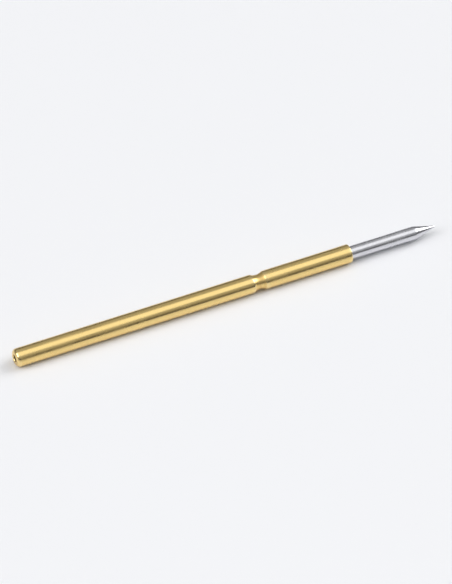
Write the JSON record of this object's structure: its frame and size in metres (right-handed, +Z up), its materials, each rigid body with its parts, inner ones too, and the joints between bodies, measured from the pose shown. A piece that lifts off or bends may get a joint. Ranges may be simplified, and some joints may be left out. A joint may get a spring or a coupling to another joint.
{
  "type": "pogo pin",
  "caption": "Spring-loaded contact pin: a needle-tipped plunger slides against a coil spring inside a thin gold-plated tube held by a rolled ring.",
  "frame": {"origin": "on the pin's axis, where the straight wall of the barrel starts just ahead of its rounded tail", "axes": "+X along the pin towards the needle, +Z up"},
  "size_m": [0.0164, 0.0006, 0.0006],
  "materials": {
    "gold_plate": "satin gold plating over a drawn tube",
    "nickel_plate": "bright plating over a turned pin",
    "spring_wire": "bright drawn wire"
  },
  "bodies": {
    "barrel": {"barrel": "gold_plate", "spring": "spring_wire"},
    "plunger": {"plunger": "nickel_plate"}
  },
  "joints": [
    {"name": "plunger_slide", "type": "slide", "parent": "barrel", "child": "plunger", "axis": [-1, 0, 0], "range_m": [0, 0.00265], "stiffness_N_per_m": 244, "deforming": ["spring"]}
  ]
}
